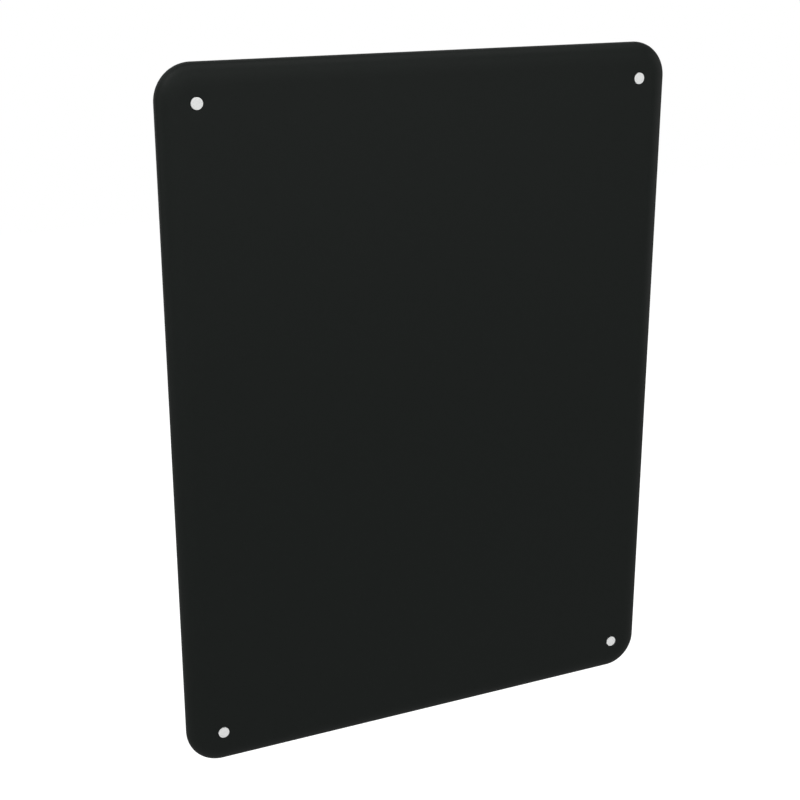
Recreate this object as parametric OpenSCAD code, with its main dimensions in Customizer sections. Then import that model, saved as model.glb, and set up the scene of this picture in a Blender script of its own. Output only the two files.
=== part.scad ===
// Acoustic partition panel: an upholstered timber frame with an absorber core,
// bolted through its four corners. The front face looks along -Y, +X is to the
// right of someone facing the front, and +Z is up. The origin is the centre of
// the rear face, in the middle of the four threaded fixings.

/* [Panel] */
// Height of the panel
panel_h = 1000; // [700:1:1800]
// Width of the panel
panel_w = 760; // [500:1:1600]
// Thickness from the front face to the rear face
panel_t = 40; // [36:1:60]
// Radius of the corners, seen from the front
corner_r = 50; // [42:1:70]
// Width of the rolled edge, seen from the front
edge_w = 30; // [22:1:38]
// Fullness of the rolled edge: 2 is a half ellipse, and more is squarer
edge_power = 2.25; // [2:0.05:2.8]

/* [Covers] */
// Thickness of the upholstery fabric
cover_t = 1.2; // [0.6:0.1:2]
// Diameter of the welt that is sewn between the covers
welt_d = 3; // [2:0.1:4]
// Place of the seam on the rolled edge, in degrees behind its rim
seam_angle = 35; // [30:1:60]

/* [Frame] */
// Thickness of the timber
frame_t = 20; // [14:1:24]
// Distance from the panel's edge to the frame's edge
frame_inset = 10; // [9:1:20]
// Width of the stiles and the rails
bar_w = 60; // [45:1:80]
// Side of the square corner blocks
block_w = 100; // [85:1:130]
// Diameter of the dowels
dowel_d = 8; // [5:0.5:10]
// Length of the dowels
dowel_l = 40; // [24:1:60]
// Distance between the two dowels of a joint
dowel_pitch = 30; // [16:1:34]
// Chamfer round the dowels' ends
dowel_chamfer = 1; // [0.5:0.1:1.5]

/* [Sleeve nuts] */
// Distance from the panel's edges to the centre of each fixing
fixing_inset = 50; // [42:1:60]
// Outer diameter of the sleeve
sleeve_d = 11; // [10:0.1:13]
// Diameter of the flange on the rear face
flange_d = 16; // [14:0.5:24]
// Thickness of the flange
flange_t = 1.6; // [1.2:0.1:3]
// Chamfer round the flange's outer face
flange_chamfer = 0.4; // [0.2:0.1:0.8]
// Inner diameter of the open thread, where a bolt enters from the rear
thread_bore_d = 6.8; // [5:0.1:7.4]
// Diameter of the two holes that a pin spanner turns the flange by
spanner_d = 2; // [1:0.1:2.4]
// Distance between the spanner holes
spanner_pitch = 11.4; // [10.5:0.1:12.5]
// Depth of the spanner holes
spanner_depth = 1; // [0.5:0.1:1.1]

/* [Screws] */
// Diameter of the screw's shank
screw_d = 8; // [7.6:0.1:9]
// Length of the shank under the head
screw_l = 20; // [12:0.5:26]
// Chamfer at the shank's tip
screw_chamfer = 0.8; // [0.3:0.1:1.5]
// Diameter of the head's flange
head_d = 14; // [12:0.5:15]
// Height of the head
head_h = 3; // [2.5:0.1:3.5]
// Thickness of the head's flange at its rim
head_rim = 0.8; // [0.5:0.1:1.2]
// Diameter of the flat on top of the head
head_top_d = 7.6; // [7:0.1:9]
// Width across the flats of the hexagon socket
socket_w = 5; // [4:0.1:5.5]
// Depth of the hexagon socket
socket_depth = 2.4; // [2.2:0.1:3]
// Diameter of the washer
washer_d = 15.6; // [14:0.1:16]
// Thickness of the washer
washer_t = 1.2; // [0.8:0.1:2]
// Diameter of the washer's hole
washer_hole_d = 8.4; // [8.2:0.1:9.4]

/* [Caps] */
// Diameter of the cover caps
cap_d = 16; // [16:0.5:24]
// Thickness of a cap's disc
cap_t = 1.4; // [1:0.1:2]
// Height of a cap above the front face
cap_proud = 0.8; // [0.4:0.1:1.2]
// Radius of the cap's rounded rim
cap_edge_r = 0.5; // [0.3:0.1:0.8]
// Length of the peg that pushes into the screw's socket
peg_l = 2.2; // [1.2:0.1:2.4]
// Chamfer at the peg's tip
peg_chamfer = 0.4; // [0.2:0.1:0.6]

/* [Clearances] */
// Gap between the soft layers and what they wrap
layer_gap = 0.2; // [0.1:0.05:0.5]
// Radial play of pegs, dowels, sleeves and screws in their holes
running_gap = 0.05; // [0.02:0.01:0.1]
// Gap round a cap and a flange, and under a cap
cap_gap = 0.3; // [0.2:0.05:0.5]
// Gap at the ends of dowels and screws
end_gap = 0.5; // [0.3:0.1:1]

/* [Hidden] */
$fn = 96;
// Facets of the rolled edge from the front face to the rear face
edge_steps = 24;
// Facets of small rounded rims and heads
rim_steps = 6;
// A cut runs past the face that it opens by this much
past = 1;

// Corners, as a name and the side of the panel along X and along its height
corners = [
    ["top_left", -1, 1], ["top_right", 1, 1],
    ["bottom_left", -1, -1], ["bottom_right", 1, -1]
];

// Centres of the corner arcs
arc_x = panel_w / 2 - corner_r;
arc_y = panel_h / 2 - corner_r;
// Middle plane between the faces, and the two faces of the timber
mid = panel_t / 2;
frame_low = mid - frame_t / 2;
frame_high = mid + frame_t / 2;
// Outer size of the frame, and the lines where its blocks end and its bars run
frame_x = panel_w / 2 - frame_inset;
frame_y = panel_h / 2 - frame_inset;
joint_x = frame_x - block_w;
joint_y = frame_y - block_w;
stile_x = frame_x - bar_w / 2;
rail_y = frame_y - bar_w / 2;
// Centres of the fixings
fixing_x = panel_w / 2 - fixing_inset;
fixing_y = panel_h / 2 - fixing_inset;

// Heights of the front fixing's stack, counted from the rear face
cap_top = panel_t + cap_proud;
cap_low = cap_top - cap_t;
head_top = cap_low - cap_gap;
head_low = head_top - head_h;
sleeve_top = head_low - washer_t;
screw_tip = head_low - screw_l;
// Radii of the dips that the covers make at the fixings, and of the holes that the sleeves pass
front_dip_r = max(cap_d, washer_d) / 2 + cap_gap;
rear_dip_r = flange_d / 2 + cap_gap;
sleeve_pass_r = sleeve_d / 2 + layer_gap;
// Socket and peg
socket_corner_d = socket_w / cos(30);
peg_r = socket_w / 2 - running_gap;

// Seam: the welt's centre, the edge's length in a degree there, and the angle that the covers
// stop short of it
wrap_t = cover_t + layer_gap;
welt_centre = edge_point(cover_t / 2, -seam_angle);
seam_speed = norm(edge_point(0, 0.5 - seam_angle) - edge_point(0, -0.5 - seam_angle));
seam_space = (welt_d / 2 + layer_gap) / seam_speed;

// A share of the edge's width or height: a sine or a cosine, made fuller by the edge's power
function full(share) = sign(share) * pow(abs(share), 2 / edge_power);

// A point on the edge's section, drawn in by some depth. Angle 90 is at the front face, 0 at
// the rim and -90 at the rear face. The first coordinate is the distance from the centre of
// the corner's arc.
function edge_point(depth, a) =
    [corner_r - edge_w + (edge_w - depth) * full(cos(a)), mid + (mid - depth) * full(sin(a))];

function edge_points(depth, a0, a1) = [
    for (i = [0 : edge_steps]) edge_point(depth, a0 + (a1 - a0) * i / edge_steps)
];

function reversed(points) = [for (i = [len(points) - 1 : -1 : 0]) points[i]];

// Stands the panel up: what is drawn lying on its rear face is turned to face the front
module upright() {
    rotate([90, 0, 0]) children();
}

// Carries a section round the panel: along its four edges and through its four corners
module round_edge() {
    for (i = [0, 1], j = [0, 1])
        mirror([i, 0, 0]) mirror([0, j, 0]) translate([arc_x, arc_y, 0])
            rotate_extrude(angle = 90) children();
    for (i = [0, 1])
        mirror([i, 0, 0]) translate([arc_x, 0, 0]) rotate([90, 0, 0])
            linear_extrude(2 * arc_y, center = true) children();
    for (j = [0, 1])
        mirror([0, j, 0]) translate([0, arc_y, 0]) rotate([90, 0, 90])
            linear_extrude(2 * arc_x, center = true) children();
}

// A sheet between two heights that fills the space inside the edge's sections
module middle(low, high) {
    translate([-arc_x, -arc_y, low]) cube([2 * arc_x, 2 * arc_y, high - low]);
}

module at_fixings() {
    for (c = corners) translate([c[1] * fixing_x, c[2] * fixing_y, 0]) children();
}

module at_fixing(c) {
    translate([c[1] * fixing_x, c[2] * fixing_y, 0]) children();
}

module at_dowels() {
    for (c = corners, s = [-1, 1]) {
        translate([c[1] * joint_x, c[2] * (rail_y + s * dowel_pitch / 2), mid])
            rotate([0, 90, 0]) children();
        translate([c[1] * (stile_x + s * dowel_pitch / 2), c[2] * joint_y, mid])
            rotate([90, 0, 0]) children();
    }
}

module dowel_holes() {
    at_dowels() cylinder(d = dowel_d + 2 * running_gap, h = dowel_l + 2 * end_gap, center = true);
}

// The front cover wraps the front face and the rim, and dips under each washer
module front_cover() {
    seam = seam_space - seam_angle;
    color("#1e2120") upright() difference() {
        union() {
            round_edge() polygon(concat(
                edge_points(0, seam, 90), [[0, panel_t], [0, panel_t - cover_t]],
                reversed(edge_points(cover_t, seam, 90))));
            middle(panel_t - cover_t, panel_t);
            at_fixings() translate([0, 0, sleeve_top - cover_t])
                cylinder(r = front_dip_r + cover_t, h = panel_t - sleeve_top + cover_t / 2);
        }
        at_fixings() translate([0, 0, sleeve_top]) cylinder(r = front_dip_r, h = panel_t);
        at_fixings() cylinder(r = sleeve_pass_r, h = panel_t);
    }
}

// The rear cover is sewn to the front one along the welt, and dips under each flange
module rear_cover() {
    seam = -seam_space - seam_angle;
    color("#1e2120") upright() difference() {
        union() {
            round_edge() polygon(concat(
                edge_points(0, -90, seam), reversed(edge_points(cover_t, -90, seam)),
                [[0, cover_t], [0, 0]]));
            middle(0, cover_t);
            at_fixings() translate([0, 0, cover_t / 2])
                cylinder(r = rear_dip_r + cover_t, h = flange_t + cover_t / 2);
        }
        at_fixings() translate([0, 0, -past]) cylinder(r = rear_dip_r, h = flange_t + past);
        at_fixings() translate([0, 0, -past]) cylinder(r = sleeve_pass_r, h = panel_t);
    }
}

module seam_welt() {
    color("#191b1a") upright() round_edge() translate(welt_centre) circle(d = welt_d);
}

// Padding on the front, a shallow tray that the front half of the frame lies in
module front_pad() {
    tray_u = corner_r - frame_inset + layer_gap;
    color("#d9d8d2") upright() difference() {
        union() {
            round_edge() polygon(concat(
                [[tray_u, mid]], edge_points(wrap_t, 0, 90),
                [[0, panel_t - wrap_t], [0, frame_high], [tray_u, frame_high]]));
            middle(frame_high, panel_t - wrap_t);
        }
        at_fixings() translate([0, 0, sleeve_top - wrap_t])
            cylinder(r = front_dip_r + wrap_t, h = panel_t);
        at_fixings() cylinder(r = sleeve_pass_r, h = panel_t);
    }
}

// Padding on the rear, the front tray's mirror image, with a groove for the welt
module rear_pad() {
    tray_u = corner_r - frame_inset + layer_gap;
    color("#d9d8d2") upright() difference() {
        union() {
            round_edge() polygon(concat(
                edge_points(wrap_t, -90, 0), [[tray_u, mid], [tray_u, frame_low], [0, frame_low], [0, wrap_t]]));
            middle(wrap_t, frame_low);
        }
        round_edge() translate(welt_centre) circle(d = welt_d + 2 * layer_gap);
        at_fixings() cylinder(r = rear_dip_r + wrap_t, h = flange_t + wrap_t);
        at_fixings() cylinder(r = sleeve_pass_r, h = panel_t);
    }
}

// The absorber batt fills the frame's opening and is notched round the corner blocks
module sound_core() {
    core_x = frame_x - bar_w - layer_gap;
    core_y = frame_y - bar_w - layer_gap;
    notch = block_w - bar_w;
    color("#e9e6dc") upright() difference() {
        translate([-core_x, -core_y, frame_low]) cube([2 * core_x, 2 * core_y, frame_t]);
        for (c = corners)
            translate([c[1] * core_x, c[2] * core_y, mid])
                cube([2 * notch, 2 * notch, frame_t + 2 * past], center = true);
    }
}

// One stile: side is -1 for the left one and 1 for the right one
module stile(side) {
    color("#d2b184") upright() difference() {
        translate([side * stile_x, 0, mid]) cube([bar_w, 2 * joint_y, frame_t], center = true);
        dowel_holes();
    }
}

// One rail: side is -1 for the bottom one and 1 for the top one
module rail(side) {
    color("#d2b184") upright() difference() {
        translate([0, side * rail_y, mid]) cube([2 * joint_x, bar_w, frame_t], center = true);
        dowel_holes();
    }
}

// A corner block follows the panel's corner outside and is square inside
module corner_block(c) {
    color("#c79f6d") upright() difference() {
        intersection() {
            union() {
                round_edge() translate([0, frame_low]) square([corner_r - frame_inset, frame_t]);
                middle(frame_low, frame_high);
            }
            translate([c[1] * (joint_x + block_w), c[2] * (joint_y + block_w), mid])
                cube([2 * block_w, 2 * block_w, panel_t], center = true);
        }
        dowel_holes();
        at_fixing(c) cylinder(d = sleeve_d + 2 * running_gap, h = panel_t);
    }
}

module frame_dowels() {
    half = dowel_l / 2;
    color("#e0c79e") upright() at_dowels() rotate_extrude() polygon([
        [0, -half], [dowel_d / 2 - dowel_chamfer, -half], [dowel_d / 2, dowel_chamfer - half],
        [dowel_d / 2, half - dowel_chamfer], [dowel_d / 2 - dowel_chamfer, half], [0, half]
    ]);
}

// A flanged tube: the screw holds its front end, and its rear end is an open thread
module sleeve_nut(c) {
    color("#b9bcbd") upright() at_fixing(c) difference() {
        rotate_extrude() polygon([
            [0, 0], [flange_d / 2 - flange_chamfer, 0], [flange_d / 2, flange_chamfer],
            [flange_d / 2, flange_t], [sleeve_d / 2, flange_t], [sleeve_d / 2, sleeve_top], [0, sleeve_top]
        ]);
        translate([0, 0, -past]) cylinder(d = thread_bore_d, h = panel_t);
        translate([0, 0, screw_tip - end_gap]) cylinder(d = screw_d + 2 * running_gap, h = panel_t);
        for (s = [-1, 1])
            translate([s * spanner_pitch / 2, 0, -past]) cylinder(d = spanner_d, h = spanner_depth + past);
    }
}

module washer(c) {
    color("#b9bcbd") upright() at_fixing(c) translate([0, 0, sleeve_top]) difference() {
        cylinder(d = washer_d, h = washer_t);
        translate([0, 0, -past]) cylinder(d = washer_hole_d, h = washer_t + 2 * past);
    }
}

// A flange screw with a low domed head and a hexagon socket
module screw(c) {
    dome_w = (head_d - head_top_d) / 2;
    dome_h = head_h - head_rim;
    dome = [
        for (i = [0 : rim_steps])
            let (a = 90 * i / rim_steps)
                [head_top_d / 2 + dome_w * cos(a), head_low + head_rim + dome_h * sin(a)]
    ];
    color("#b9bcbd") upright() at_fixing(c) difference() {
        rotate_extrude() polygon(concat(
            [[0, screw_tip], [screw_d / 2 - screw_chamfer, screw_tip], [screw_d / 2, screw_tip + screw_chamfer],
             [screw_d / 2, head_low], [head_d / 2, head_low]],
            dome, [[0, head_top]]));
        translate([0, 0, head_top - socket_depth])
            cylinder(d = socket_corner_d, h = socket_depth + past, $fn = 6);
    }
}

// A cover cap: a disc with a rounded rim, on a peg that pushes into the screw's socket
module cap(c) {
    peg_low = cap_low - cap_gap - peg_l;
    rim = [
        for (i = [0 : rim_steps])
            let (a = 90 * i / rim_steps)
                [cap_d / 2 - cap_edge_r + cap_edge_r * cos(a), cap_top - cap_edge_r + cap_edge_r * sin(a)]
    ];
    color("#d6d7d6") upright() at_fixing(c) rotate_extrude() polygon(concat(
        [[0, peg_low], [peg_r - peg_chamfer, peg_low], [peg_r, peg_low + peg_chamfer],
         [peg_r, cap_low], [cap_d / 2, cap_low]],
        rim, [[0, cap_top]]));
}

front_cover();
rear_cover();
seam_welt();
front_pad();
rear_pad();
sound_core();
stile(-1);  // left_stile
stile(1);  // right_stile
rail(1);  // top_rail
rail(-1);  // bottom_rail
frame_dowels();
for (c = corners) {
    corner_block(c);
    sleeve_nut(c);
    washer(c);
    screw(c);
    cap(c);
}
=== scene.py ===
import math

import bmesh
import bpy
import numpy as np
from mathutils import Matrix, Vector


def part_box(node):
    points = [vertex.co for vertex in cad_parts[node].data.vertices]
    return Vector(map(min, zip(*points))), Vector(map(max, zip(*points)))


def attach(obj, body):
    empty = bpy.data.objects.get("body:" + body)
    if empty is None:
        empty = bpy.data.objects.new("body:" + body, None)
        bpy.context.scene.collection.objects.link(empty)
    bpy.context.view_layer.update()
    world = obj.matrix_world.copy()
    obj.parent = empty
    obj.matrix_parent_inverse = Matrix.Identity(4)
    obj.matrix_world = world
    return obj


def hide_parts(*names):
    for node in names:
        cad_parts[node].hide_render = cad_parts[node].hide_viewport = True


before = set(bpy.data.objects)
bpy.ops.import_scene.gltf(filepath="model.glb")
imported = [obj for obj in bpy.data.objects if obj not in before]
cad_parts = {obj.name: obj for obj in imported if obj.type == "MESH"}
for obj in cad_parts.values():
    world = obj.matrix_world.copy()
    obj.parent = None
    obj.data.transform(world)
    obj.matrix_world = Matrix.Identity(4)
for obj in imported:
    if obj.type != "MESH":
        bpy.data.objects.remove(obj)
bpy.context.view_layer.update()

CORNERS = {"top_left": (-1, 1), "top_right": (1, 1), "bottom_left": (-1, -1), "bottom_right": (1, -1)}

# Places and sizes from the frame, in metres. The front looks along -Y.
front_low, front_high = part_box("front_cover")
rear_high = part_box("rear_cover")[1]
cap_low, cap_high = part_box("cap_top_left")
washer_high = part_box("washer_top_left")[1]
nut_low, nut_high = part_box("sleeve_nut_top_left")


def rounded(value):
    """A size of the frame to a hundredth of a millimetre: its faceted rims fall a few microns short."""
    return round(value, 5)


HALF_W, HALF_H = rounded(front_high.x), rounded(front_high.z)
FRONT_Y, REAR_Y = rounded(front_low.y), rounded(rear_high.y)
MID_Y = (FRONT_Y + REAR_Y) / 2
HALF_T = (REAR_Y - FRONT_Y) / 2
CAP_R = rounded((cap_high.x - cap_low.x) / 2)
CAP_TOP, CAP_TIP = rounded(cap_low.y), rounded(cap_high.y)
FLANGE_R = rounded((nut_high.x - nut_low.x) / 2)
FIXING_X, FIXING_Z = rounded(-(cap_low.x + cap_high.x) / 2), rounded((cap_low.z + cap_high.z) / 2)
WASHER_Y = rounded(washer_high.y)
SLEEVE_TOP_Y = rounded(nut_low.y)

# Sizes of the panel's form, in metres and degrees
CORNER_R = 0.050
EDGE_W = 0.030
FLAT_R = CORNER_R - EDGE_W
EDGE_POWER = 2.25
SEAM_ANGLE = 35
COVER_T = 0.0012
LAYER_GAP = 0.0002
WELT_R = 0.0015
WRAP_T = COVER_T + LAYER_GAP
SEAM_ROLL_R = 0.0014
FRAME_INSET = 0.010
FRAME_T = 0.020
BAR_W = 0.060
BLOCK_W = 0.100
DIP_GAP = 0.0003
SLEEVE_R = 0.0055
FLANGE_T = 0.0016
THREAD_PITCH, THREAD_DEPTH, THREAD_L = 0.00125, 0.0006, 0.0156
THREAD_R, SCREW_BORE_R, MOUTH_R = 0.0034, 0.00405, 0.0042
SPANNER_R, SPANNER_PLACE, SPANNER_DEPTH = 0.001, 0.0057, 0.001
ARC_X, ARC_Z = HALF_W - CORNER_R, HALF_H - CORNER_R

# The faces' long waves: radians for each metre along X and along Z, and the shift in radians
WAVES = ((9.1, 4.3, 0.6), (-5.7, 11.9, 2.1), (14.3, 13.1, 4.0))

# How fine the surfaces are: points or steps round a corner's arc, along half a side of a fixing's square,
# over the rolled edge, round a rolled rim, from a fixing's square to its circle, down a cup's wall, and
# round the welt and a turned piece; the step of a straight stretch; and how close points are to be joined
ARC_STEPS = 56
PATCH_STEPS = 8
SECTION_STEPS = 40
ROLL_STEPS = 6
PATCH_RINGS = 10
WALL_STEPS = 3
WELT_SIDES = 18
TURNED_SIDES = 96
STRAIGHT_STEP = 0.010
MERGE_DISTANCE = 1e-6


def quads(rows, cols, wrap_rows=False, wrap_cols=False):
    """Faces of a grid of points, each from a point, its neighbour in the row, and the two in the next
    row."""
    r = np.arange(rows if wrap_rows else rows - 1)
    c = np.arange(cols if wrap_cols else cols - 1)
    r, c = np.meshgrid(r, c, indexing="ij")
    r1, c1 = (r + 1) % rows, (c + 1) % cols
    return np.stack([r * cols + c, r * cols + c1, r1 * cols + c1, r1 * cols + c], -1).reshape(-1, 4)


def build(name, patches, facing=None, crease=None):
    """One mesh from grid patches. A patch is (points, cloth, wrap rows, wrap columns): points are (rows,
    columns, 3) and cloth holds each point's place on the flat cloth, or None. Patches are joined where their
    points meet. facing is a point and a direction: the face nearest the point looks that way, and the rest
    follow it. An edge that turns by more than crease, in degrees, is shaded sharp."""
    points, cloth, faces, start = [], [], [], 0
    for grid, flat, wrap_rows, wrap_cols in patches:
        rows, cols = grid.shape[:2]
        points.append(grid.reshape(-1, 3))
        place = np.zeros((rows * cols, 3))
        if flat is not None:
            place[:, :2] = flat.reshape(-1, 2)
        cloth.append(place)
        faces.append(quads(rows, cols, wrap_rows, wrap_cols) + start)
        start += rows * cols
    mesh = bpy.data.meshes.new(name)
    mesh.from_pydata(np.concatenate(points).tolist(), [], np.concatenate(faces).tolist())
    attribute = mesh.attributes.new("cloth", "FLOAT_VECTOR", "POINT")
    attribute.data.foreach_set("vector", np.concatenate(cloth).ravel().astype(np.float32))
    work = bmesh.new()
    work.from_mesh(mesh)
    bmesh.ops.remove_doubles(work, verts=work.verts, dist=MERGE_DISTANCE)
    bmesh.ops.recalc_face_normals(work, faces=work.faces)
    if facing is not None:
        where, way = Vector(facing[0]), Vector(facing[1])
        nearest = min(work.faces, key=lambda f: (f.calc_center_median() - where).length)
        if nearest.normal.dot(way) < 0:
            bmesh.ops.reverse_faces(work, faces=work.faces)
    work.to_mesh(mesh)
    work.free()
    mesh.shade_smooth()
    if crease is not None:
        mesh.set_sharp_from_angle(angle=math.radians(crease))
    piece = bpy.data.objects.new(name, mesh)
    bpy.context.scene.collection.objects.link(piece)
    return piece


def outline():
    """Stations round the panel, clockwise seen from the front: the centre and the outward direction of each
    section, the distance walked along the rim, and how far each lies into a corner's arc, from 0 to 1."""
    centres, normals, bends = [], [], []
    sides = [((-1, 1), (1, 0), (0, 1)), ((1, 1), (0, -1), (1, 0)),
             ((1, -1), (-1, 0), (0, -1)), ((-1, -1), (0, 1), (-1, 0))]
    for (sx, sz), way, out in sides:
        start = np.array([sx * ARC_X, sz * ARC_Z])
        way, out = np.array(way, float), np.array(out, float)
        length = 2 * (ARC_X if way[0] else ARC_Z)
        middle = round((length - 2 * FLAT_R) / STRAIGHT_STEP)
        along = np.concatenate([
            np.linspace(0, FLAT_R, PATCH_STEPS, endpoint=False),
            np.linspace(FLAT_R, length - FLAT_R, middle, endpoint=False),
            np.linspace(length - FLAT_R, length, PATCH_STEPS, endpoint=False)])
        turn = np.linspace(0, math.pi / 2, ARC_STEPS, endpoint=False)
        centres += [start + way * s for s in along] + [start + way * length] * ARC_STEPS
        normals += [out] * len(along) + [out * math.cos(t) + way * math.sin(t) for t in turn]
        bends += [0] * len(along) + list(turn / (math.pi / 2))
    centres, normals = np.array(centres), np.array(normals)
    rim = centres + normals * CORNER_R
    walked = np.concatenate([[0], np.cumsum(np.linalg.norm(np.diff(rim, axis=0), axis=1))])
    return centres, normals, walked, np.array(bends)


CENTRES, NORMALS, WALKED, BENDS = outline()
# Lines of the flat faces' squares, at the same places as the stations
SHORT = np.linspace(-FLAT_R, FLAT_R, 2 * PATCH_STEPS + 1)
LONG_X, LONG_Z = (np.linspace(-reach, reach, round(2 * reach / STRAIGHT_STEP) + 1)
                  for reach in (ARC_X - FLAT_R, ARC_Z - FLAT_R))


def full(share):
    """A sine or a cosine made fuller: its size to the power of 2 over the edge's power, with its sign."""
    return np.sign(share) * np.abs(share) ** (2 / EDGE_POWER)


def edge_curve(depth, angles):
    """Points (u, v) on the rolled edge's section, a depth inside the cover's outer face: a superellipse,
    where u is the distance out from the corner arc's centre and v the distance in front of the middle plane.
    Angle 90 is at the front face and 0 at the rim."""
    a = np.radians(angles)
    return np.stack([FLAT_R + (EDGE_W - depth) * full(np.cos(a)), (HALF_T - depth) * full(np.sin(a))], -1)


def filleted(points, radius, steps=4):
    """A broken line with each inner corner cut back by a radius, or by at most a share of the leg, and
    joined by a parabola."""
    most = 0.45
    points = np.array(points, float)
    line = [points[:1]]
    t = np.linspace(0, 1, steps + 1)[:, None]
    for before, corner, after in zip(points, points[1:], points[2:]):
        cuts = [corner + (end - corner) * min(radius / np.linalg.norm(end - corner), most)
                for end in (before, after)]
        line.append((1 - t) ** 2 * cuts[0] + 2 * t * (1 - t) * corner + t ** 2 * cuts[1])
    return np.concatenate([*line, points[-1:]])


def carried(curve):
    """Carries (u, v) points round the panel: a (stations, points, 3) grid. curve is (points, 2), or one such
    array for each station."""
    curve = np.broadcast_to(curve, (len(CENTRES), *curve.shape[-2:]))
    xz = CENTRES[:, None] + NORMALS[:, None] * curve[..., :1]
    return np.stack([xz[..., 0], MID_Y - curve[..., 1], xz[..., 1]], -1)


def ripple(x, z):
    """How far a taut face is drawn in: the sum of three long, shallow sine waves, a tenth of a millimetre
    high, and a bell beside each fixing, where the clamped washer or flange pulls the cloth down."""
    wave_size, dent, dent_reach = 0.00006, 0.00035, 0.009
    wave = sum(np.sin(by_x * x + by_z * z + shift) for by_x, by_z, shift in WAVES)
    away = np.hypot(np.abs(x) - FIXING_X, np.abs(z) - FIXING_Z) - CAP_R
    return wave_size * (len(WAVES) + wave) / 2 + dent * np.exp(-(np.maximum(away, 0) / dent_reach) ** 2)


def lumpy(x, z):
    """How far a pad's outer face is drawn in: its cover's ripple, and low lumps, a product of two sines."""
    lump_size, by_x, by_z = 0.0001, 170, 150
    return ripple(x, z) + lump_size * (1 + np.sin(by_x * x) * np.sin(by_z * z + 1))


def still(x, z):
    """No ripple: a face that lies on the frame."""
    return 0 * x


def fixing_ring():
    """Points round a fixing's patch: three sides of a square, and the corner's arc with a short side before
    and after it, each at the same place as a station or a square's line."""
    arc = np.linspace(0, math.pi / 2, ARC_STEPS + 1)
    half = np.linspace(0, FLAT_R, PATCH_STEPS + 1)
    whole = SHORT[::-1]
    return np.concatenate([
        np.stack([np.full(PATCH_STEPS, FLAT_R), -half[:0:-1]], -1),
        FLAT_R * np.stack([np.cos(arc), np.sin(arc)], -1),
        np.stack([-half[1:], np.full(PATCH_STEPS, FLAT_R)], -1),
        np.stack([np.full(len(whole) - 1, -FLAT_R), whole[1:]], -1),
        np.stack([-whole[1:-1], np.full(len(whole) - 2, -FLAT_R)], -1)])


def broad_face(plane_y, inward, drawn_in, profile):
    """Patches of a broad, flat face inside the rolled edge: squares of a grid, and at each fixing a patch
    that shrinks from its square to a circle and then follows a profile of (radius, y) points down into its
    cup. inward is the side of the face, along Y, that the panel lies on."""
    def flat(x, z):
        """Points of the face, and their places on the flat cloth."""
        return np.stack([x, plane_y + inward * drawn_in(x, z), z], -1), np.stack([x, z], -1)

    patches = []
    for xs, zs in ((LONG_X, LONG_Z), (LONG_X, SHORT + ARC_Z), (LONG_X, SHORT - ARC_Z),
                   (SHORT + ARC_X, LONG_Z), (SHORT - ARC_X, LONG_Z)):
        patches.append((*flat(*np.meshgrid(xs, zs, indexing="ij")), False, False))
    ring = fixing_ring()
    way = ring / np.linalg.norm(ring, axis=1)[:, None]
    radius, level = np.array(profile).T[..., None]
    t = np.linspace(0, 1, PATCH_RINGS)[:, None, None]
    across = (1 - t) * ring + t * way * radius[0]
    down = (level - plane_y) * inward
    fade = 1 - down / max(down[-1, 0], MERGE_DISTANCE)
    for sx, sz in CORNERS.values():
        cx, cz = sx * FIXING_X, sz * FIXING_Z
        points, cloth = flat(cx + sx * across[..., 0], cz + sz * across[..., 1])
        cup = np.stack([cx + sx * way[:, 0] * radius[1:],
                        level[1:] + (points[-1, :, 1] - plane_y) * fade[1:],
                        cz + sz * way[:, 1] * radius[1:]], -1)
        patches.append((np.concatenate([points, cup]), np.concatenate([cloth, cup[..., ::2]]), False, True))
    return patches


def cup_profile(plane_y, inward, radius, rim_r, floor_y, inner_r, end_y=None):
    """(radius, y) points from a face into a cup: a rolled rim, a wall, a floor to an inner radius, and then
    on down to end_y if that is given."""
    turn = np.linspace(0, math.pi / 2, ROLL_STEPS)
    reach, drop = rim_r * (1 - np.sin(turn)), rim_r * (1 - np.cos(turn))
    points = np.stack([radius + reach, plane_y + inward * drop], -1)
    legs = [(radius, plane_y + inward * rim_r), (radius, floor_y), (inner_r, floor_y)]
    if end_y is not None:
        legs.append((inner_r, end_y))
    for start, end in zip(legs, legs[1:]):
        points = np.concatenate([points, np.linspace(start, end, WALL_STEPS + 1)[1:]])
    return points


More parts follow.
